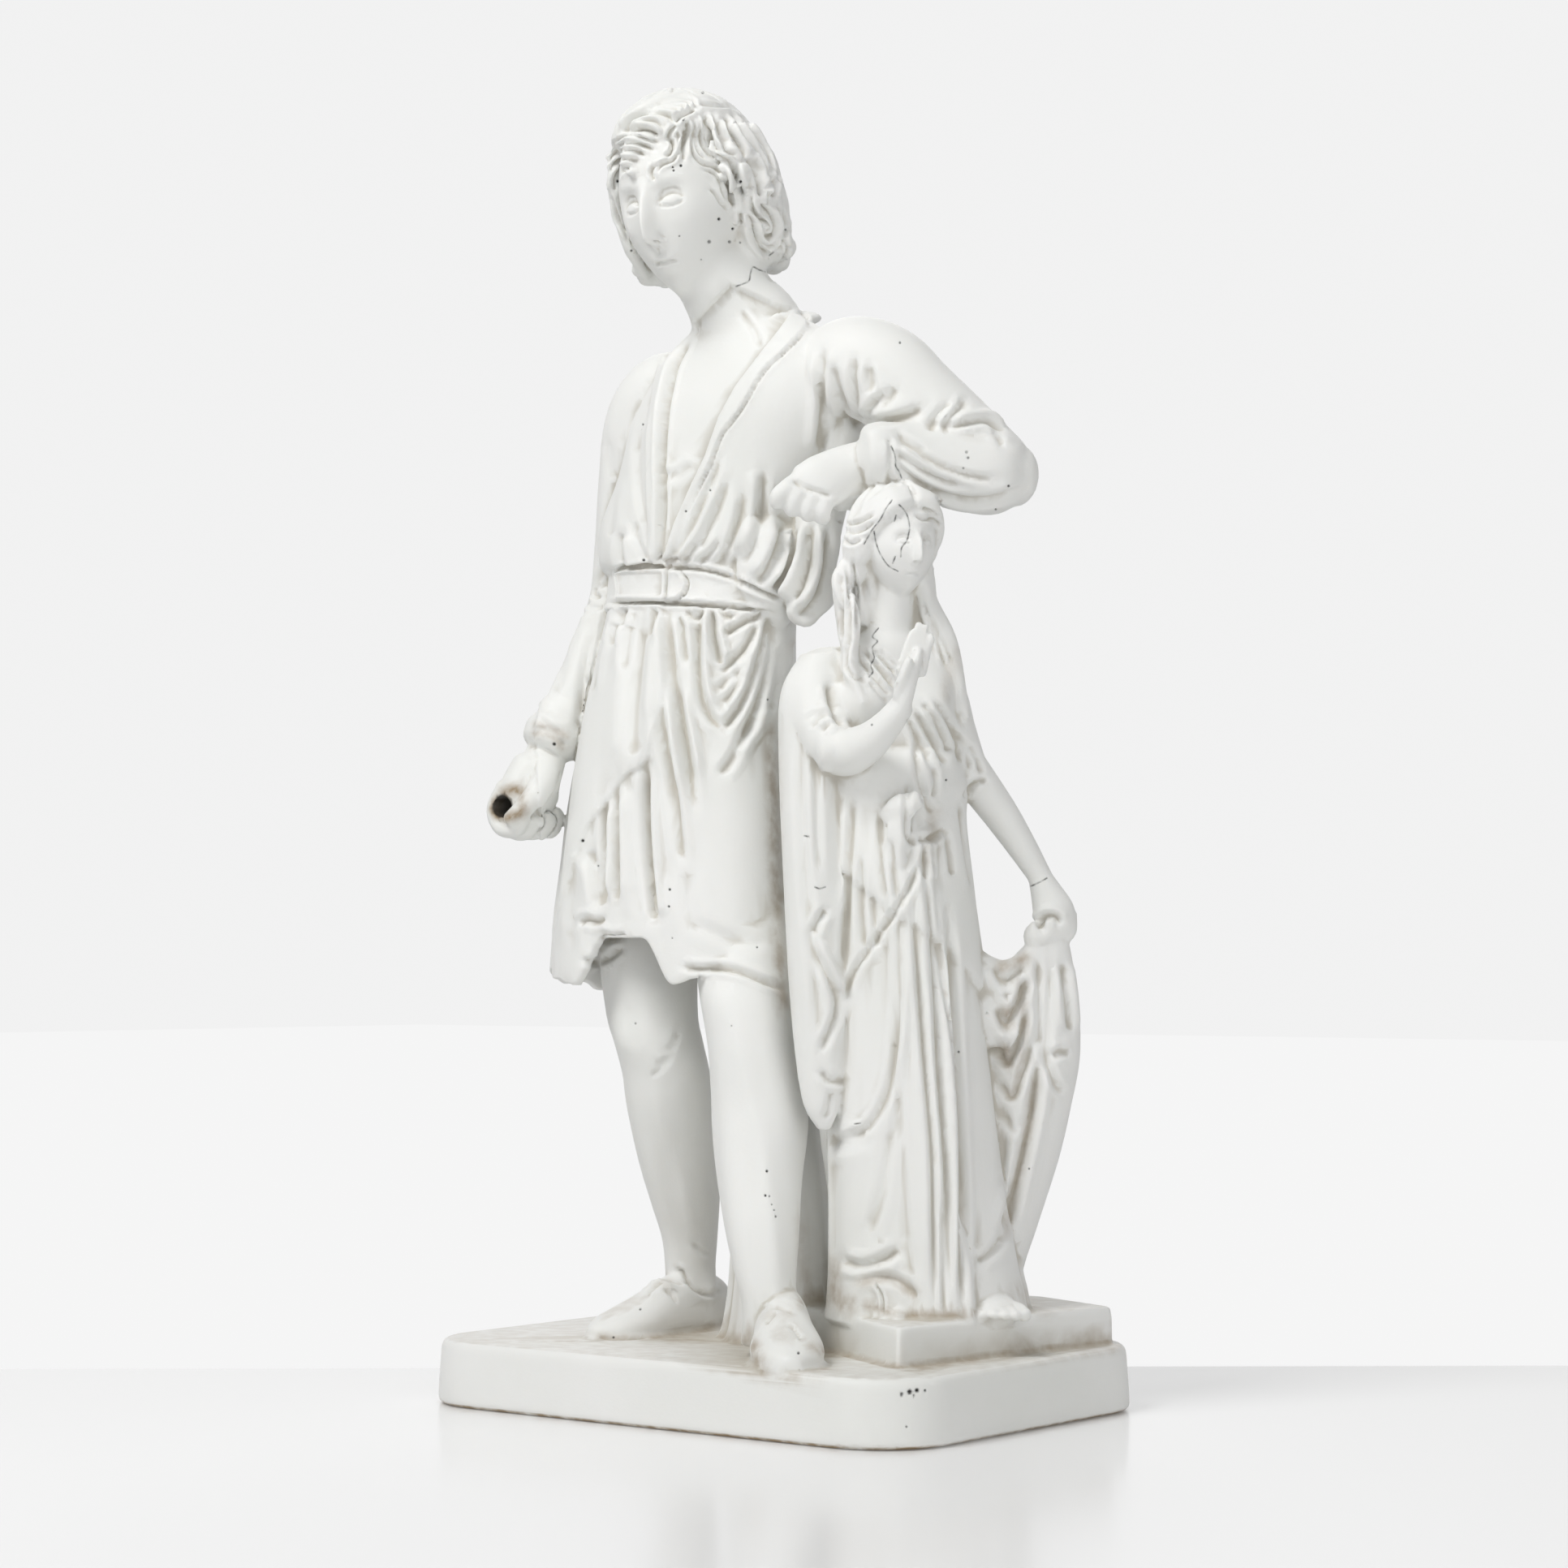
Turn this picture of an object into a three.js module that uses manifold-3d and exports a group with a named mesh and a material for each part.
// A parian porcelain group, slip-cast and fired as one piece: a standing sculptor in a belted
// smock leans his left forearm on the head of a small draped statue that stands on a block.
// Millimetres, +Z up. The origin is under the middle of the plinth and the man looks along -Y.
import * as THREE from "three";
import { mergeVertices } from "three/addons/utils/BufferGeometryUtils.js";
import Module from "manifold-3d";

const wasm = await Module();
wasm.setup();

// Driving dimensions.
const PLINTH = { width: 228, depth: 163, height: 24, corner: 29, edge: 2 };
const BLOCK = { height: 14, corner: 3 };
const GROUND = PLINTH.height;
const STEP = GROUND + BLOCK.height;
const HEM = 156; // lowest edge of the smock
const CLOTH = 4; // thickness of the smock's open hem
const HEAD = { centre: [-27, -24, 451.5], width: 23.5, depth: 27, height: 38 };
const STATUE_HEAD = { centre: [61.5, -10, 316], width: 13, depth: 16, height: 20 };
const SLIVER = 0.1; // joins leave no triangle finer than this
const SOCKET = { radius: 3.8, depth: 15 }; // hole in the right fist for a loose tool

const degrees = THREE.MathUtils.radToDeg;
const radians = THREE.MathUtils.degToRad;
const clamp = THREE.MathUtils.clamp;
const { smoothstep } = THREE.MathUtils;
// 0 at from and 1 at to, whichever is higher.
const ramp = (x, from, to) => (from < to ? smoothstep(x, from, to) : 1 - smoothstep(x, to, from));
const bell = (x, width) => Math.exp(-((x / width) ** 2));
const around = (angle, middle) => THREE.MathUtils.euclideanModulo(angle - middle + 180, 360) - 180;

// A closed three.js geometry as a solid that can be joined and cut.
function solid(geometry) {
  const bare = geometry.clone();
  bare.deleteAttribute("normal");
  bare.deleteAttribute("uv");
  const merged = mergeVertices(bare, 1e-3);
  return new wasm.Manifold(
    new wasm.Mesh({
      numProp: 3,
      vertProperties: merged.attributes.position.array,
      triVerts: new Uint32Array(merged.index.array),
      tolerance: SLIVER,
    }),
  );
}

const join = (...solids) => solids.flat(3).reduce((whole, next) => whole.add(next));

// A Catmull-Rom value at share t along a list of numbers.
function spline(values, t) {
  const place = clamp(t, 0, 1) * (values.length - 1);
  const i = Math.min(Math.floor(place), values.length - 2);
  const f = place - i;
  const b = values[i];
  const c = values[i + 1];
  const a = values[i - 1] ?? 2 * b - c;
  const d = values[i + 2] ?? 2 * c - b;
  return b + 0.5 * f * (c - a + f * (2 * a - 5 * b + 4 * c - d + f * (3 * (b - c) + d - a)));
}

// A closed skin of rings. place(t, angle, reach) gives a point: t runs from end to end, angle is
// 0 in front and grows towards +X, and reach is 1 on the skin and 0 in the middle of an end.
function skin(sides, steps, place) {
  const tube = new THREE.CylinderGeometry(1, 1, 1, sides, steps);
  const points = tube.attributes.position;
  for (let i = 0; i < points.count; i++) {
    const reach = Math.round(Math.hypot(points.getX(i), points.getZ(i)));
    const angle = reach ? degrees(Math.atan2(points.getX(i), points.getZ(i))) : 0;
    points.setXYZ(i, ...place(points.getY(i) + 0.5, angle, reach));
  }
  return solid(tube);
}

// The point of a stacked form at share t and an angle, standing out from it by lift.
function onForm({ sections, turn = 0 }, t, angle, lift = 0, reach = 1) {
  const [z, x, y, across, deep] = [0, 1, 2, 3, 4].map((k) => spline(sections.map((s) => s[k]), t));
  const [c, s] = [Math.cos(radians(turn)), Math.sin(radians(turn))];
  const u = across * Math.sin(radians(angle));
  const v = deep * Math.cos(radians(angle));
  const grown = reach * (1 + lift / Math.hypot(u, v));
  return [x + grown * (u * c + v * s), y + grown * (u * s - v * c), z];
}

// A form stacked from level sections, lowest first: [z, x, y, half width, half depth].
// turn is the way it faces, in degrees from -Y towards +X. fold(angle, z) stands out from the
// skin and lift(angle) raises the lowest edge.
function column(form, { sides = 16, steps = 8, fold = () => 0, lift = () => 0 } = {}) {
  return skin(sides, steps, (t, angle, reach) => {
    const height = onForm(form, t, angle)[2];
    const point = onForm(form, t, angle, reach * fold(angle, height), reach);
    point[2] += reach * lift(angle) * (1 - t) ** 3;
    return point;
  });
}

// The place on a stacked form at an angle and a height.
function onSkin(form, angle, height, lift = 0) {
  let [low, high] = [0, 1];
  for (let i = 0; i < 20; i++) {
    const middle = (low + high) / 2;
    if (onForm(form, middle, angle)[2] < height) low = middle;
    else high = middle;
  }
  return onForm(form, low, angle, lift);
}

// A limb through [x, y, z, half width, half thickness]. Its thickness lies towards face.
function limb(sections, { sides = 10, steps = 6, face = [0, -1, 0], round = 0.5 } = {}) {
  const [x, y, z, wide, thick] = [0, 1, 2, 3, 4].map((k) => sections.map((s) => s[k] ?? s[3]));
  const at = (t) => new THREE.Vector3(spline(x, t), spline(y, t), spline(z, t));
  const hint = new THREE.Vector3(...face);
  return skin(sides, steps, (t, angle, reach) => {
    const after = at(Math.min(t + 0.01, 1));
    const along = after.sub(at(Math.max(t - 0.01, 0))).normalize();
    const side = new THREE.Vector3().crossVectors(along, hint).normalize();
    const front = new THREE.Vector3().crossVectors(side, along);
    const bulge = (1 - reach) * round * spline(thick, t) * (t < 0.5 ? -1 : 1);
    return at(t)
      .addScaledVector(side, reach * spline(wide, t) * Math.sin(radians(angle)))
      .addScaledVector(front, reach * spline(thick, t) * Math.cos(radians(angle)))
      .addScaledVector(along, bulge)
      .toArray();
  });
}

// A strip of cloth or hair that follows a stacked form through [angle, height, half width, half
// thickness, lift].
function strip(form, places, { sides = 6, steps = 6 } = {}) {
  const sections = places.map(([angle, height, wide, thick, lift = 0]) => [
    ...onSkin(form, angle, height, lift),
    wide,
    thick,
  ]);
  const middle = places[Math.floor(places.length / 2)];
  const out = onSkin(form, middle[0], middle[1], 10);
  const face = onSkin(form, middle[0], middle[1]).map((value, k) => out[k] - value);
  return limb(sections, { sides, steps, face });
}

// An ellipsoid of half sizes [x, y, z], with its poles along Z.
function ball(centre, [rx, ry, rz], sides = 10, rings = 8) {
  const sphere = new THREE.SphereGeometry(1, sides, rings).rotateX(Math.PI / 2);
  return solid(sphere.scale(rx, ry, rz).translate(...centre));
}

// Where a head sits: it looks along -Y at rest, turns towards +X, bows forward, tilts to +X.
function stance(centre, turn, bow, tilt) {
  const order = new THREE.Euler(radians(bow), radians(tilt), radians(turn), "ZXY");
  return new THREE.Matrix4().makeRotationFromEuler(order).setPosition(...centre);
}

// A joined solid's triangles as a three.js geometry.
function triangles(shape) {
  const mesh = shape.getMesh();
  const geometry = new THREE.BufferGeometry();
  geometry.setAttribute("position", new THREE.BufferAttribute(mesh.vertProperties, 3));
  geometry.setIndex(new THREE.BufferAttribute(mesh.triVerts, 1));
  return geometry;
}

const pose = (shape, matrix) => solid(triangles(shape).applyMatrix4(matrix));

// A plain head about its own middle: an ovoid with a brow, nose, mouth and chin of ordinary
// proportions. Its points are crowded towards the face.
function head({ width, depth, height }, sides, rings) {
  const sphere = new THREE.SphereGeometry(1, sides, rings);
  const points = sphere.attributes.position;
  for (let i = 0; i < points.count; i++) {
    const flat = Math.hypot(points.getX(i), points.getZ(i));
    const turned = Math.atan2(points.getX(i), points.getZ(i));
    const angle = turned - 0.42 * Math.sin(turned);
    const up = points.getY(i);
    const u = flat * Math.sin(angle);
    const w = flat * Math.cos(angle);
    const face = ramp(w, 0, 0.4);
    const jaw = 1 - 0.24 * ramp(-up, 0.1, 1);
    const sockets = -0.09 * bell(Math.abs(u) - 0.36, 0.17) * bell(up - 0.05, 0.11);
    const nose = 0.17 * bell(u, 0.12) * ramp(up, 0.3, -0.2) * ramp(up, -0.4, -0.24);
    const lips = 0.05 * bell(u, 0.24) * (bell(up + 0.42, 0.06) + bell(up + 0.55, 0.06));
    const chin = 0.1 * bell(u, 0.3) * bell(up + 0.82, 0.14);
    const brow = 0.03 * bell(Math.abs(u) - 0.3, 0.3) * bell(up - 0.2, 0.08);
    const out = face * (sockets + nose + lips + chin + brow);
    const back = w < 0 ? 1 - 0.25 * ramp(-up, 0, 1) : 1;
    points.setXYZ(i, u * width * jaw, -(w * back + out) * depth, up * height);
  }
  return solid(sphere);
}

// An outline of [x, y] corners as a closed shape with rounded corners.
function rounded(corners, radius) {
  const shape = new THREE.Shape();
  corners.forEach((corner, i) => {
    const here = new THREE.Vector2(...corner);
    const before = new THREE.Vector2(...corners.at(i - 1)).sub(here).setLength(radius);
    const after = new THREE.Vector2(...corners[(i + 1) % corners.length]).sub(here);
    const start = before.add(here);
    const end = after.setLength(radius).add(here);
    if (i) shape.lineTo(start.x, start.y);
    else shape.moveTo(start.x, start.y);
    shape.quadraticCurveTo(here.x, here.y, end.x, end.y);
  });
  return shape;
}

// A slab of an outline between levels [z, share of its plan size] about a middle.
function slab(shape, levels, middle, curveSegments) {
  const steps = levels.length - 1;
  const body = new THREE.ExtrudeGeometry(shape, {
    depth: steps,
    steps,
    bevelEnabled: false,
    curveSegments,
  });
  const points = body.attributes.position;
  for (let i = 0; i < points.count; i++) {
    const [z, share] = levels[Math.round(points.getZ(i))];
    const x = middle[0] + (points.getX(i) - middle[0]) * share;
    const y = middle[1] + (points.getY(i) - middle[1]) * share;
    points.setXYZ(i, x, y, z);
  }
  return solid(body);
}

// The plinth has rounded corners, slightly drawn-in sides and a softened top edge.
function plinth() {
  const [x, y] = [PLINTH.width / 2, PLINTH.depth / 2];
  const r = PLINTH.corner;
  const shape = new THREE.Shape();
  shape.moveTo(x, y - r).absarc(x - r, y - r, r, 0, Math.PI / 2);
  shape.absarc(r - x, y - r, r, Math.PI / 2, Math.PI);
  shape.absarc(r - x, r - y, r, Math.PI, 1.5 * Math.PI);
  shape.absarc(x - r, r - y, r, 1.5 * Math.PI, 2 * Math.PI);
  const levels = [
    [0, 1],
    [GROUND - PLINTH.edge, 0.988],
    [GROUND, 0.974],
  ];
  return slab(shape, levels, [0, 0], 6);
}

// The statue's own low block, set askew on the plinth.
function block() {
  const corners = [
    [88, -47],
    [107, 62],
    [66, 79],
    [20, 79],
    [6, -4],
  ];
  const levels = [
    [GROUND / 2, 1],
    [STEP - 1.5, 0.995],
    [STEP, 0.975],
  ];
  return slab(rounded(corners, BLOCK.corner), levels, [57, 34], 1);
}

// The tree stump that carries the man's weight behind his left leg.
function stump() {
  const form = {
    sections: [
      [GROUND - 4, 0, 4, 29, 26],
      [GROUND + 8, 0, 3, 24, 22],
      [60, 0, 3, 21, 20],
      [110, -2, 1, 19, 18],
      [168, -8, -2, 17, 15],
    ],
  };
  const bark = (angle) => 1.2 * Math.cos(radians(5 * angle)) + 0.8 * Math.cos(radians(3 * angle));
  return column(form, { sides: 12, steps: 5, fold: bark });
}

// The man's smock below the belt: flaring, with an overlapping front edge and hanging pleats.
const SKIRT = {
  sections: [
    [HEM - 2, -39.3, -15.5, 52.5, 36],
    [178, -39.3, -15, 51, 35],
    [200, -39, -14, 49, 34],
    [240, -38, -12, 46, 32.5],
    [275, -36, -8, 43, 30],
    [305, -34, -4.5, 40, 27],
  ],
};
const SKIRT_FOLDS = [
  { angle: -42, height: 3, width: 7, low: 156, high: 260 },
  { angle: -24, height: 2.5, width: 6, low: 156, high: 240 },
  { angle: -8, height: 3, width: 4, low: 156, high: 230 },
  { angle: 4, height: 3, width: 4, low: 156, high: 240 },
  { angle: 17, height: 3.5, width: 5, low: 156, high: 246 },
  { angle: 41, height: 2, width: 5, low: 200, high: 298 },
  { angle: 57, height: -2, width: 4, low: 210, high: 296 },
  { angle: 70, height: 2.5, width: 5, low: 190, high: 300 },
  { angle: 88, height: 2, width: 6, low: 180, high: 300 },
  { angle: 128, height: 3, width: 7, low: 150, high: 290 },
  { angle: 152, height: 3, width: 7, low: 150, high: 270 },
  { angle: 176, height: 3, width: 7, low: 150, high: 290 },
  { angle: 204, height: 3, width: 8, low: 150, high: 270 },
  { angle: 230, height: 3, width: 7, low: 150, high: 290 },
  { angle: 256, height: 3, width: 7, low: 150, high: 280 },
  { angle: 284, height: 3, width: 8, low: 150, high: 270 },
];

// The height at each angle of hanging folds that start at high and grow towards low.
const hang = (folds, angle, z) =>
  folds.reduce((sum, fold) => {
    const grow = ramp(z, fold.high, (fold.high + fold.low) / 2) * ramp(z, fold.low - 1, fold.low);
    return sum + fold.height * grow * bell(around(angle, fold.angle), fold.width);
  }, 0);

// The edge of the overlapping panel runs from the belt down and round to the man's right.
const PANEL_EDGE = [
  [302, 30],
  [262, 31],
  [248, 24],
  [232, 8],
  [214, -10],
  [200, -22],
];
function panelEdge(z) {
  const first = PANEL_EDGE.findIndex(([height]) => height <= z);
  if (first <= 0) return first ? PANEL_EDGE.at(-1)[1] : PANEL_EDGE[0][1];
  const [upper, lower] = [PANEL_EDGE[first - 1], PANEL_EDGE[first]];
  return lower[1] + ((z - lower[0]) / (upper[0] - lower[0])) * (upper[1] - lower[1]);
}

function skirt() {
  const folds = (angle, z) => {
    const past = around(angle, panelEdge(z));
    const panel = 2.2 * ramp(past, 3, -3) * ramp(past, -150, -100) * ramp(z, 200, 206);
    const inner = -1.5 * bell(around(angle, 6), 18) * ramp(z, 236, 214);
    return panel + inner + hang(SKIRT_FOLDS, angle, z);
  };
  const lift = (angle) =>
    19 * ramp(angle, -20, -4) * ramp(angle, 32, 16) +
    6 * bell(around(angle, -60), 30) +
    7 * bell(around(angle, 52), 18) +
    5 * bell(around(angle, 150), 60);
  const outside = column(SKIRT, { sides: 42, steps: 7, fold: folds, lift });
  const hollow = {
    sections: SKIRT.sections
      .slice(0, 3)
      .map(([z, x, y, a, d]) => [z, x, y, a - CLOTH, d - CLOTH]),
  };
  hollow.sections[0][0] -= 10;
  hollow.sections[2][0] = 190;
  return outside.subtract(column(hollow, { sides: 16, steps: 1 }));
}

// Above the belt the smock bags over it.
const BLOUSE = {
  sections: [
    [311, -34, -4, 40, 27],
    [317, -33.5, -4, 46, 31.5],
    [332, -31, -4, 48, 31.5],
    [350, -24, -4, 47, 30],
    [370, -17, -4, 49, 28],
    [386, -12, -4, 46, 23],
    [397, -10, -5, 34, 18],
    [406, -10, -6, 20, 14],
  ],
};
const BLOUSE_FOLDS = [
  { angle: -20, height: 1.6, width: 5, low: 312, high: 350 },
  { angle: -5, height: 1.6, width: 4, low: 312, high: 360 },
  { angle: 28, height: 2, width: 4, low: 312, high: 345 },
  { angle: 40, height: 2, width: 4, low: 312, high: 350 },
  { angle: 52, height: 2, width: 4, low: 312, high: 360 },
  { angle: 64, height: 2.5, width: 4, low: 312, high: 400 },
  { angle: 78, height: 3, width: 4, low: 312, high: 405 },
  { angle: 92, height: 2.5, width: 5, low: 312, high: 385 },
  { angle: 120, height: 2.5, width: 6, low: 312, high: 380 },
  { angle: 150, height: 2.5, width: 6, low: 312, high: 370 },
  { angle: 180, height: 2, width: 7, low: 312, high: 380 },
  { angle: 210, height: 2.5, width: 6, low: 312, high: 370 },
  { angle: 240, height: 2.5, width: 6, low: 312, high: 380 },
];

// The open front of the smock is a V that narrows down to the belt.
const OPENING = { tip: [315, 3], notch: [400, 17], spread: 0.66 };
function openFront(angle, z) {
  const rise = clamp((z - OPENING.tip[0]) / (OPENING.notch[0] - OPENING.tip[0]), 0, 1.3);
  const middle = OPENING.tip[1] + rise * (OPENING.notch[1] - OPENING.tip[1]);
  const half = rise * 62 * OPENING.spread;
  return ramp(half - Math.abs(around(angle, middle)), -5, 4);
}

function blouse() {
  const folds = (angle, z) => {
    const open = openFront(angle, z);
    return -4 * open + (1 - open) * hang(BLOUSE_FOLDS, angle, z);
  };
  const cloth = column(BLOUSE, { sides: 40, steps: 6, fold: folds });
  const collar = limb(
    [
      [-34, -14, 397, 5, 3],
      [-31, 7, 403, 6, 3],
      [-12, 14, 408, 6, 3],
      [7, 8, 407, 6, 3],
      [14, -10, 400, 5.5, 3],
    ],
    { sides: 5, steps: 6, face: [0, 0, 1] },
  );
  // Flat lapels run down both sides of the opening.
  const edges = [
    [
      [-37, 400, 3.4, 2.4, -0.5],
      [-26, 375, 3.2, 2.4, -0.5],
      [-13, 345, 3, 2.4, -0.5],
      [1, 315, 2.6, 2.4, 0],
    ],
    [
      [71, 400, 4.6, 2.6, -0.5],
      [46, 375, 4, 2.6, -0.5],
      [25, 345, 3.4, 2.4, -0.5],
      [5, 313, 2.8, 2.4, 0],
    ],
  ].map((edge) => strip(BLOUSE, edge, { sides: 4, steps: 3 }));
  const bag = ball([3, -6, 303], [13, 14, 14], 8, 6);
  return join(cloth, edges, collar, bag);
}

// A flat belt with a rectangular buckle plate and a half-round end.
const BELT = {
  sections: [
    [299.5, -34.5, -5, 42.5, 29.5],
    [304, -34, -4.5, 42, 29],
    [310, -33.5, -4.5, 42, 28.5],
    [315, -33, -4, 42, 28.5],
  ],
};
function belt() {
  const plate = strip(BELT, [
    [-13, 307.5, 6.4, 1.6, 0.6],
    [6, 307.5, 6.4, 1.6, 1],
    [26, 308, 6.4, 1.6, 0.6],
  ], { sides: 4, steps: 2 });
  return join(column(BELT, { sides: 28, steps: 1 }), plate);
}

// A bare or stockinged leg below the smock, ankle first.
function leg(sections, calf) {
  const muscle = (angle, z) => 2.2 * bell(around(angle, 180), 55) * bell(z - calf, 18);
  return column({ sections }, { sides: 12, steps: 7, fold: muscle });
}

function legs() {
  const right = [
    [28, -49.5, 10, 10, 11],
    [43, -49.9, 8, 9.4, 10.5],
    [58, -49.1, 6, 10, 11.5],
    [72, -48.4, 2, 12, 14],
    [88, -47.8, -3, 14, 16],
    [109, -46.2, -9.4, 16, 17],
    [122, -45.4, -12.6, 16.4, 17],
    [134, -47, -15.1, 16, 18],
    [145, -49.6, -16, 17, 18],
    [170, -53, -14, 19, 19],
    [200, -56, -8, 20, 20],
  ];
  const left = [
    [28, 30, -45, 9.6, 11],
    [42, 30.2, -45, 9.6, 10.5],
    [54, 27.1, -43.6, 11, 12],
    [70, 22.9, -40.5, 13.4, 14],
    [90, 17, -34.9, 15.6, 16],
    [105, 13.8, -31.1, 17, 17],
    [116, 11.7, -29, 17, 17],
    [134, 8.6, -28.8, 15.6, 16.5],
    [150, 4, -25, 17, 18],
    [170, -3, -18, 19, 19],
    [200, -12, -8, 20, 20],
  ];
  return [leg(right, 88), leg(left, 104)];
}

// A low soft shoe from heel to toe, sunk a little into the ground it stands on.
function shoe(heel, toe, scale) {
  const shares = [0, 0.12, 0.3, 0.5, 0.7, 0.88, 1];
  const widths = [5, 9, 10, 11, 13, 11, 4.5];
  const heights = [14, 22, 25, 20, 14, 9.5, 5.5];
  const sections = shares.map((share, i) => [
    heel[0] + share * (toe[0] - heel[0]),
    heel[1] + share * (toe[1] - heel[1]),
    GROUND + 0.35 * scale * heights[i],
    scale * widths[i],
    0.65 * scale * heights[i],
  ]);
  return limb(sections, { sides: 10, steps: 6, face: [0, 0, 1] });
}

// The right arm hangs with a loose fist that has a hole for a tool.
function rightArm() {
  const sleeve = limb(
    [
      [-36, -4, 384, 12, 14],
      [-52, -4, 383, 16, 17],
      [-63, -3, 372, 16, 18],
      [-69, -1, 350, 15.5, 17],
      [-74, 1, 325, 14.5, 16],
      [-78, 0, 303, 13.5, 14.5],
      [-83, -11, 280, 11.5, 12],
      [-87.5, -22, 261, 9.2, 9.2],
      [-89.2, -26, 254.5, 11, 11],
      [-90.5, -29.5, 248.5, 10, 10],
    ],
    { sides: 12, steps: 9 },
  );
  const wrist = limb([[-90, -29, 250, 7], [-93, -34, 236, 8.5]], { sides: 8, steps: 1 });
  const palm = ball([-94, -36, 227], [11.5, 12, 12.5], 8, 6);
  const fingers = [0, 1, 2, 3].map((i) => {
    const y = -45.5 + 6 * i;
    return limb(
      [
        [-100, y + 1, 229, 3.4, 4],
        [-102, y, 221, 3.4, 4],
        [-97, y - 0.5, 215, 3.4, 4],
        [-89, y - 0.5, 217, 3.2, 3.6],
      ],
      { sides: 4, steps: 3, face: [0, -1, 0] },
    );
  });
  const thumb = limb(
    [
      [-88, -36, 237, 4.5, 4.5],
      [-85.5, -43, 229, 4.2, 4.2],
      [-90, -47.5, 221, 3.8, 3.8],
    ],
    { sides: 6, steps: 3 },
  );
  const socket = new THREE.CylinderGeometry(SOCKET.radius, SOCKET.radius, SOCKET.depth, 8);
  socket.translate(-97.5, -50 + SOCKET.depth / 2, 223.5);
  const hand = join(wrist, palm, fingers, thumb);
  return join(sleeve, hand.subtract(solid(socket)));
}

// The left arm is bent and its forearm lies across the statue's head.
function leftArm() {
  const upper = limb(
    [
      [22, -3, 380, 14, 16],
      [40, -1, 382, 16.5, 18],
      [56, 4, 371, 16, 18],
      [70, 12, 357, 15, 16.5],
      [83, 20, 345, 12.5, 13.5],
    ],
    { sides: 12, steps: 6, face: [0.4, 0, 0.9] },
  );
  const lower = limb(
    [
      [87, 25, 343, 9, 10],
      [82, 18, 343, 13.5, 15],
      [72, 6, 345, 13, 14.5],
      [62, -6, 348, 11.5, 12.5],
      [55.5, -14, 350, 10, 11],
    ],
    { sides: 12, steps: 5, face: [0, 0, 1] },
  );
  const cuff = limb(
    [
      [59, -10, 349, 10, 11],
      [56.5, -13, 349, 12.5, 13.5],
      [53, -17, 349, 12.5, 13],
      [51, -19, 349, 9, 10],
    ],
    { sides: 12, steps: 3, face: [0, 0, 1] },
  );
  const hand = limb(
    [
      [54, -15, 348, 8, 8.5],
      [47, -20, 346, 9.5, 9.5],
      [41, -24, 343, 12, 10],
      [34, -28.5, 337, 13, 8.5],
      [31, -30, 331, 11.5, 6],
    ],
    { sides: 8, steps: 5, face: [-0.4, -0.3, 0.86] },
  );
  const fingers = [0, 1, 2, 3].map((i) => {
    const [x, y] = [-6.5 + 4.6 * i, -3.8 * i];
    return limb(
      [
        [29 + x, -23 + y, 340, 3.3, 4],
        [26 + x, -24 + y, 333, 3.3, 4],
        [30 + x, -23.5 + y, 327, 3, 3.4],
      ].map(([a, b, c, w, h]) => [a + 4, b - 1, c, w, h]),
      { sides: 4, steps: 2 },
    );
  });
  return join(upper, lower, cuff, hand, fingers);
}

// A bare neck from between the shoulders into the head.
function neck() {
  return limb(
    [
      [-11, -3, 390, 27, 18],
      [-12, -4, 403, 22, 17],
      [-17, -10, 415, 17.5, 16],
      [-22, -16, 429, 15.5, 16],
      [-26, -21, 444, 15, 16],
    ],
    { sides: 12, steps: 5 },
  );
}

// The man's head with chin-length hair parted on its left and combed to both sides.
const HAIR = {
  sections: [
    [-30, 0, 13, 25, 17],
    [-22, 0, 12, 30, 22],
    [-8, 0, 10, 32, 26],
    [8, 0, 8, 31.5, 28],
    [23, 0, 5, 28, 28.5],
    [34, 0, 3, 21, 23],
    [40.5, 0, 3, 11, 14],
    [43, 0, 3, 3, 4],
  ],
};
function manHead() {
  // The hair leaves the face free, parts above the left temple and hangs in waved locks.
  const locks = (angle, z) => {
    const face = ramp(z, 28, 13) * ramp(Math.abs(angle + 2), 66, 44);
    const hanging = ramp(z, 34, 12) * Math.cos(radians(9 * angle + 7 * z));
    const parting = -2 * bell(around(angle, 22), 9) * ramp(z, 12, 24) * ramp(z, 38, 30);
    return -15 * face + 1.8 * (1 - face) * hanging + parting;
  };
  const hair = column(HAIR, { sides: 28, steps: 7, fold: locks });
  const curls = [-72, -100, 62, 84, 108].map((angle) =>
    ball(onSkin(HAIR, angle, -23, -3), [6.5, 6.5, 7], 6, 4),
  );
  const fringe = ball([-1, -8, 26], [18, 15, 11], 8, 5);
  const forelock = limb(
    [
      [8, -8, 33, 6, 6],
      [0, -13, 28, 7, 7],
      [-5, -19, 22, 4.5, 5],
      [-2, -24, 15, 2, 2],
    ],
    { sides: 5, steps: 3 },
  );
  const whole = join(head(HEAD, 16, 14), hair, fringe, curls, forelock);
  return pose(whole, stance(HEAD.centre, 6, 14, -4));
}

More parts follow.
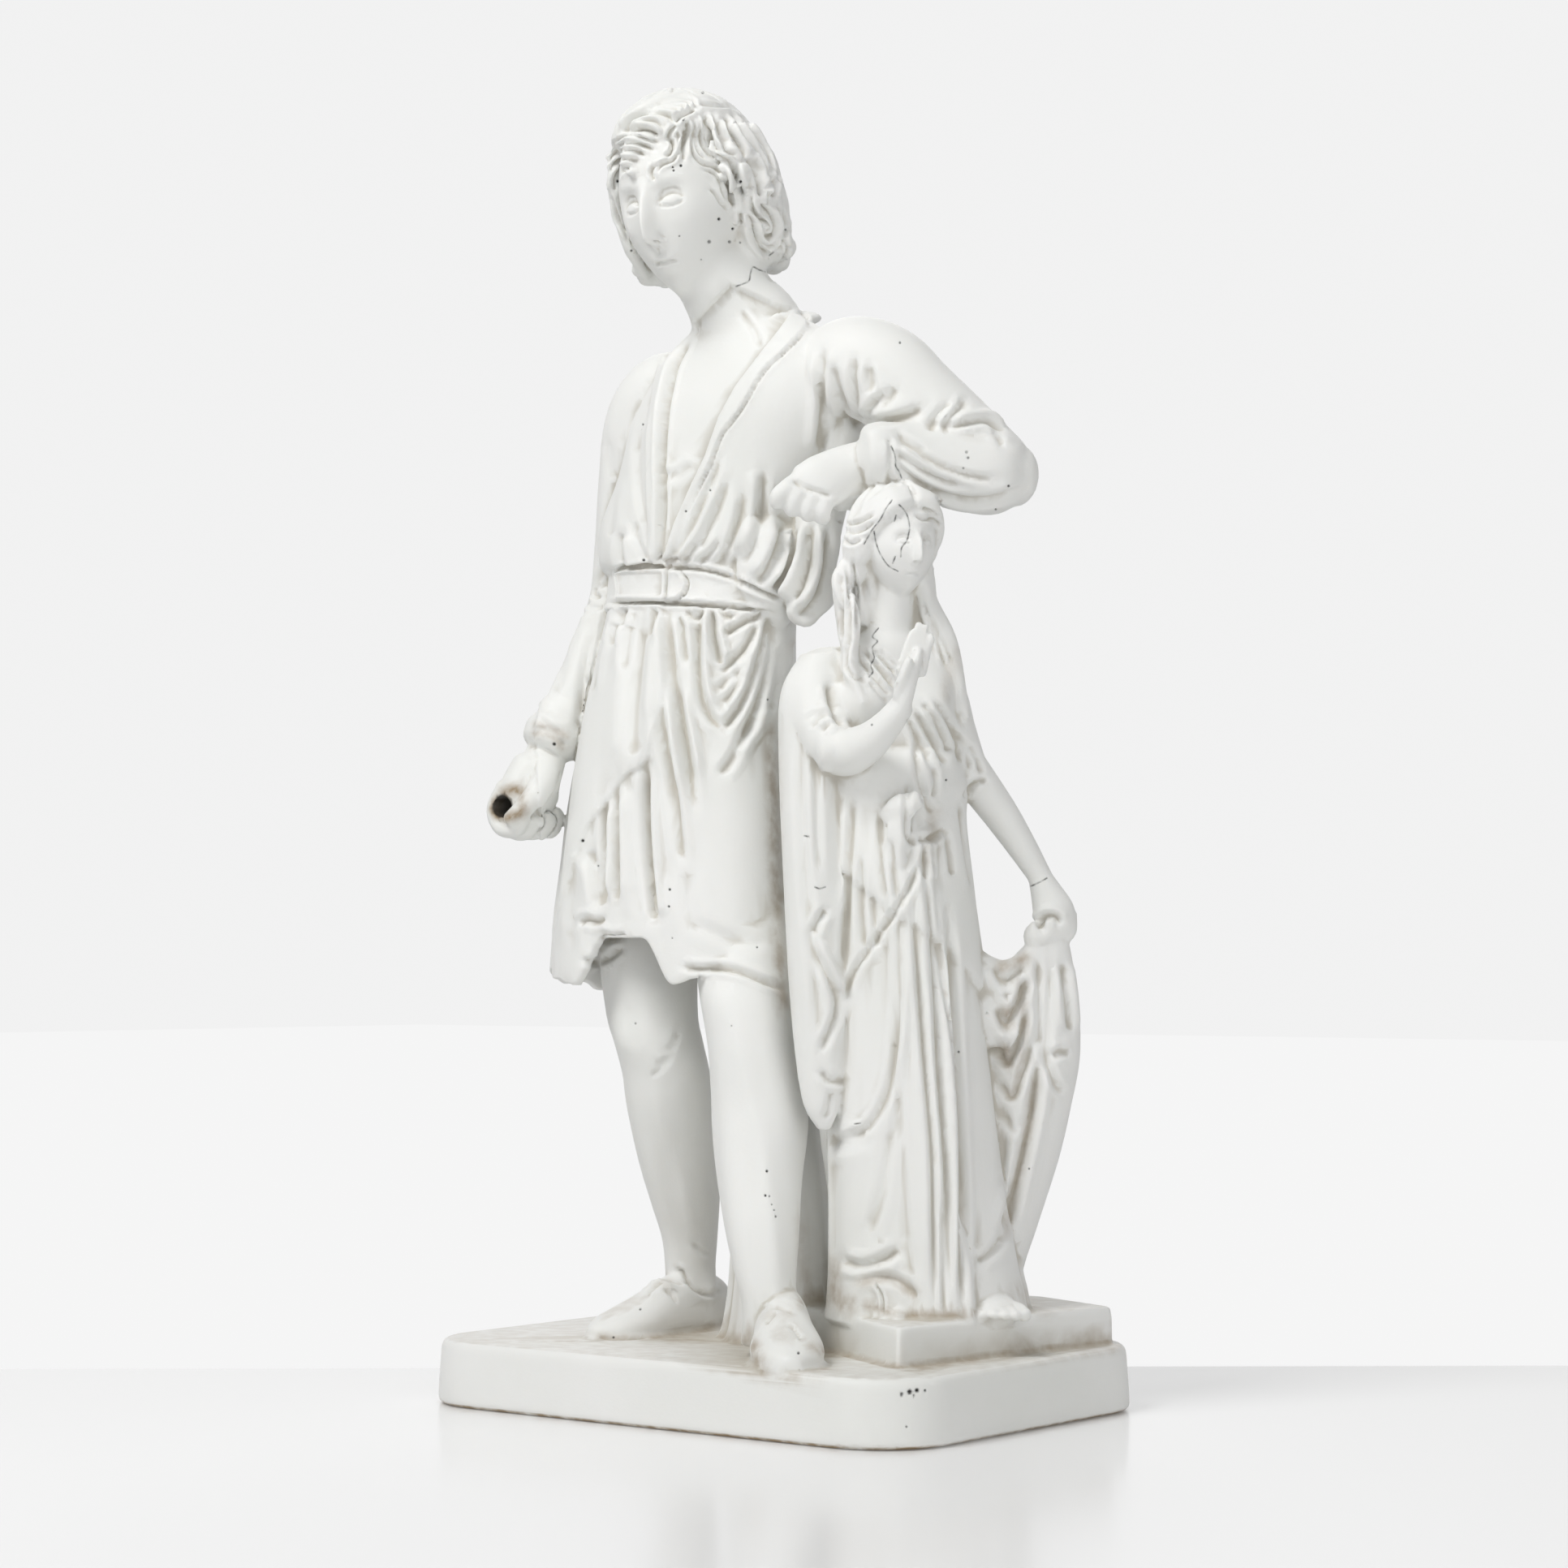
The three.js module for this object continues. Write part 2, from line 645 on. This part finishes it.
// The statue is a draped woman, turned towards the man's left.
const GOWN = {
  turn: 48,
  sections: [
    [STEP - 3, 66, 3, 36.5, 28.5],
    [44, 65.5, 3, 35, 27],
    [60, 64.5, 2, 33, 25],
    [100, 62, 0, 30, 23],
    [150, 59, -2, 28, 21],
    [190, 57, -4, 26.5, 19],
    [215, 56, -4, 24.5, 17.5],
    [229, 55.5, -4.5, 25.5, 18.5],
    [240, 55, -5, 23, 15.5],
  ],
};
const GOWN_FOLDS = [
  { angle: -66, height: 2, width: 6, low: 36, high: 150 },
  { angle: -50, height: 2, width: 5, low: 36, high: 130 },
  { angle: -34, height: 2, width: 5, low: 36, high: 110 },
  { angle: -20, height: -1.8, width: 5, low: 36, high: 214 },
  { angle: -10, height: 3, width: 4.5, low: 34, high: 214 },
  { angle: 0, height: 3, width: 4.5, low: 34, high: 224 },
  { angle: 10, height: 3, width: 4.5, low: 34, high: 214 },
  { angle: 20, height: -1.8, width: 5, low: 36, high: 214 },
  { angle: 40, height: 2, width: 6, low: 36, high: 150 },
  { angle: 96, height: 3, width: 8, low: 36, high: 220 },
  { angle: 122, height: 3, width: 7, low: 36, high: 230 },
  { angle: 148, height: 3, width: 7, low: 36, high: 200 },
  { angle: 174, height: 3, width: 7, low: 36, high: 230 },
  { angle: 200, height: 3, width: 7, low: 36, high: 210 },
  { angle: 226, height: 3, width: 7, low: 36, high: 220 },
  { angle: 252, height: 3, width: 8, low: 36, high: 200 },
];
const BODICE = {
  turn: 48,
  sections: [
    [228, 55, -5, 23, 15],
    [240, 55, -5, 23.5, 16],
    [256, 54.5, -6, 25.5, 17],
    [270, 54, -6, 27, 14],
    [279, 55, -6.5, 18, 11],
    [286, 56, -7, 9, 8.5],
    [305, 60, -9, 8, 8],
  ],
};
function statueBody() {
  const folds = (angle, z) => {
    const tunic = 1.6 * ramp(z, 176 - 0.35 * angle, 180 - 0.35 * angle);
    return tunic + hang(GOWN_FOLDS, angle, z);
  };
  const gown = column(GOWN, { sides: 36, steps: 6, fold: folds });
  const breast = (angle, z) => {
    const side = bell(Math.abs(around(angle, 0)) - 30, 20);
    return 4.5 * side * bell(z - 258, 9);
  };
  const bodice = column(BODICE, { sides: 16, steps: 6, fold: breast });
  const knot = ball([72, -21, 217], [5, 5, 7], 6, 4);
  return join(gown, bodice, knot);
}

// The statue's cape falls from her right shoulder in front and down her back.
function cape() {
  const front = {
    turn: 38,
    sections: [
      [104, 43.2, -30, 2.5, 2],
      [116, 42, -30.5, 7, 5],
      [150, 40.8, -29, 11, 9],
      [200, 38, -29, 11.5, 11],
      [240, 35.5, -29, 11, 12],
      [262, 35, -27, 11, 12],
      [276, 38, -24, 8, 8],
    ],
  };
  const zigzag = (angle, z) =>
    2 * Math.sin(z / 9) * bell(around(angle, 55), 30) - 2.4 * bell(around(angle, 12), 14);
  const back = {
    turn: 48,
    sections: [
      [STEP + 12, 52, 12, 26, 14],
      [110, 47, 6, 27, 16],
      [180, 42, -2, 28, 17],
      [240, 41, -6, 26, 15],
      [272, 50, 0, 22, 10],
      [284, 56, -3, 10, 6],
    ],
  };
  const flutes = (angle) => 1.8 * Math.cos(radians(8 * angle));
  return [
    column(front, { sides: 12, steps: 8, fold: zigzag }),
    column(back, { sides: 20, steps: 4, fold: flutes }),
  ];
}

// Her left hand lifts the side of the gown, which hangs from the fist in a swag.
function liftedGown() {
  const form = {
    turn: 38,
    sections: [
      [STEP - 3, 70.6, 29.8, 16, 18],
      [49, 70.6, 29.8, 14, 17],
      [66, 75.8, 31.3, 14, 15],
      [91, 82.1, 33.8, 15.5, 13],
      [110, 86.1, 34.3, 16.5, 11],
      [130, 89.8, 34.6, 17, 9],
      [150, 91.4, 33.3, 16, 7.5],
      [161, 92, 34.5, 13.5, 6.5],
      [174, 96.5, 37, 6, 5],
    ],
  };
  // Level folds sag between her hip and the bunched cloth below the fist.
  const folds = (angle, z) => {
    const swag = bell(around(angle, -25), 40) * ramp(z, 80, 110) * ramp(z, 168, 158);
    const hanging = Math.cos(radians(6 * angle + 0.4 * z)) * ramp(z, 172, 150);
    return 2.2 * swag * Math.cos((z + 0.1 * angle) / 2.9) + 1.6 * (1 - swag) * hanging;
  };
  return column(form, { sides: 20, steps: 8, fold: folds });
}

// Her right hand is raised open before her breast; her left hand hangs and grips the cloth.
function statueArms() {
  const right = [
    limb(
      [
        [42, -16, 268, 11, 10],
        [37, -26, 266, 11, 10],
        [41, -31, 252, 10.5, 10],
        [52, -34, 239, 8.5, 8.5],
      ],
      { sides: 10, steps: 4 },
    ),
    limb(
      [
        [48, -29, 240, 9, 9],
        [66, -33, 242, 7.2, 7.2],
        [79, -32, 253, 4.8, 5.2],
      ],
      { sides: 8, steps: 3 },
    ),
    limb(
      [
        [78.5, -32, 252, 4, 5],
        [81, -31.5, 259, 3.4, 6.5],
        [83, -30.5, 268, 3, 6.5],
        [85, -29.5, 276, 2.4, 5],
        [86, -29, 283, 1.6, 3],
      ],
      { sides: 6, steps: 4, face: [0.74, -0.67, 0] },
    ),
  ];
  const left = [
    limb(
      [
        [57, 4, 268, 8, 8],
        [65, 10.5, 264, 9, 9],
        [68.5, 14, 248, 9, 9],
        [71.5, 17.5, 233, 9, 9],
      ],
      { sides: 10, steps: 4 },
    ),
    limb(
      [
        [71, 17, 240, 6.5, 6.5],
        [82, 26, 218, 6.6, 6.8],
        [93, 35.5, 195, 4.6, 5],
      ],
      { sides: 8, steps: 3 },
    ),
    limb(
      [
        [92.5, 35, 196, 4.5, 4.5],
        [95.5, 37, 188, 7, 6],
        [97.5, 38, 181, 8, 7],
        [98, 38, 174, 6.5, 6],
        [97, 37, 169, 4.5, 4.5],
      ],
      { sides: 8, steps: 4, face: [0.6, -0.8, 0] },
    ),
  ];
  return join(right, left);
}

// Her head with waved hair and a tress over each shoulder.
function statueHead() {
  const form = {
    sections: [
      [-30, 0, 7, 13, 8],
      [-12, 0, 6, 13.5, 11],
      [-4, 0, 4, 16.5, 15],
      [6, 0, 3, 17, 17],
      [14, 0, 2.5, 14.5, 15.5],
      [20, 0, 2, 9, 10],
      [22.5, 0, 2, 2.5, 3],
    ],
  };
  const waves = (angle, z) => {
    const face = bell(angle, 42) * ramp(z, 15, 7);
    return 1.1 * Math.cos(radians(8 * angle + 12 * z)) - 9 * face;
  };
  const hair = column(form, { sides: 16, steps: 5, fold: waves });
  const bun = ball([0, 17, 2], [8, 7, 8], 6, 5);
  const posed = pose(
    join(head(STATUE_HEAD, 12, 11), hair, bun),
    stance(STATUE_HEAD.centre, 64, 4, 0),
  );
  const tresses = [
    limb(
      [
        [49, -19, 314, 4.5, 4],
        [46.5, -24, 301, 4.5, 4],
        [49.5, -24, 288, 4.5, 5],
        [52, -26, 269, 4, 4],
        [57, -26, 257, 2, 2.5],
      ],
      { sides: 6, steps: 5 },
    ),
    limb(
      [
        [65, -3, 312, 4, 4],
        [68, -3, 297, 4, 4],
        [71.5, 2, 281, 4.5, 5],
        [74.5, 7, 266, 4, 4],
        [76, 8, 254, 2, 2.5],
      ],
      { sides: 6, steps: 5 },
    ),
  ];
  return join(posed, tresses);
}

// Her bare feet show under the hem, and the middle pleats reach the block between them.
function statueFeet() {
  const foot = (heel, toe) =>
    limb(
      [
        [heel[0], heel[1], STEP + 3, 6, 8],
        [0.5 * (heel[0] + toe[0]), 0.5 * (heel[1] + toe[1]), STEP + 2.5, 9, 7],
        [0.15 * heel[0] + 0.85 * toe[0], 0.15 * heel[1] + 0.85 * toe[1], STEP + 1.5, 9.5, 4.5],
        [toe[0], toe[1], STEP + 1, 6, 3],
      ],
      { sides: 8, steps: 4, face: [0, 0, 1] },
    );
  return [foot([56, 0], [66.5, -28]), foot([74, 14], [103, -1])];
}

const man = join(skirt(), belt(), blouse(), rightArm(), leftArm(), neck(), manHead(), legs());
const shoes = [shoe([-47, 24], [-56, -42], 0.92), shoe([20, -27], [65, -77.5], 1)];
const statue = join(statueBody(), cape(), liftedGown(), statueArms(), statueHead(), statueFeet());
const whole = join(plinth(), block(), stump(), man, shoes, statue);

const geometry = triangles(whole);
geometry.computeVertexNormals();

const bisque = new THREE.MeshStandardMaterial({ color: 0xe9e7e0, roughness: 0.6, metalness: 0 });
const figure = new THREE.Mesh(geometry, bisque);
figure.name = "parian_group";

const group = new THREE.Group();
group.name = "parian_figure";
group.add(figure);
export default group;
